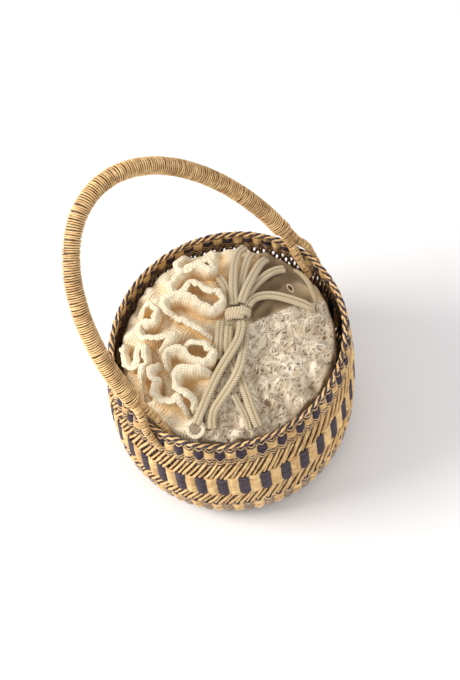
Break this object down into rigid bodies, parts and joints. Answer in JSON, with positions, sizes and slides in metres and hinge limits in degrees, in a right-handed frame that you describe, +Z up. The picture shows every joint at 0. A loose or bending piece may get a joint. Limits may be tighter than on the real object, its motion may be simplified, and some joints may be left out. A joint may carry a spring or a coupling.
{
  "type": "twined grass basket with swing handle and drawstring pouch",
  "caption": "Round twined grass basket with a straw-wrapped swing handle and a drawstring fabric pouch lining.",
  "frame": {"origin": "centre of the underside of the basket's base", "axes": "+Z up; +X along the handle's hinge line; the handle leans towards +Y at rest"},
  "size_m": [0.2288, 0.2278, 0.2912],
  "materials": {
    "golden_straw": "dry grass",
    "dark_straw": "dyed dry grass",
    "handle_straw": "wrapped dry grass",
    "straw_bundle": "raw",
    "crochet": "crocheted cotton",
    "cotton": "plain woven cotton",
    "lace": "floral lace over cotton",
    "cord": "braided cotton cord"
  },
  "bodies": {
    "basket": {"base_weave": "golden_straw", "foot_braid": "dark_straw", "lower_twined_band": "golden_straw", "lower_straw_lattice": "golden_straw", "block_band": "dark_straw", "upper_straw_lattice": "golden_straw", "upper_twined_band": "dark_straw", "rim_braid": "dark_straw", "outer_leg_left": "handle_straw", "outer_leg_right": "handle_straw", "inner_leg_left": "handle_straw", "inner_leg_right": "handle_straw"},
    "handle": {"handle_fork_left": "handle_straw", "handle_fork_right": "handle_straw", "handle_wrap": "handle_straw", "handle_core": "straw_bundle"},
    "pouch": {"pouch_bag": "cotton", "crochet_top": "crochet", "lace_top": "lace", "frill_upper": "crochet", "frill_lower": "crochet", "frill_left": "crochet", "cord_eyelet": "cotton", "casing_fold": "cotton", "cord_knot": "cord", "cord_back_1": "cord", "cord_back_2": "cord", "cord_back_3": "cord", "cord_back_4": "cord", "cord_end_right": "cord", "cord_left": "cord", "cord_under": "cord", "cord_front_1": "cord", "cord_front_2": "cord", "cord_front_3": "cord", "cord_tail": "cord"}
  },
  "joints": [
    {"name": "handle_swing", "type": "hinge", "parent": "basket", "child": "handle", "pos_m": [0, 0, 0.151], "axis": [1, 0, 0], "range_deg": [-19, 101]},
    {"name": "pouch_lift", "type": "slide", "parent": "basket", "child": "pouch", "axis": [0, 0, 1], "range_m": [0, 0.15]}
  ]
}
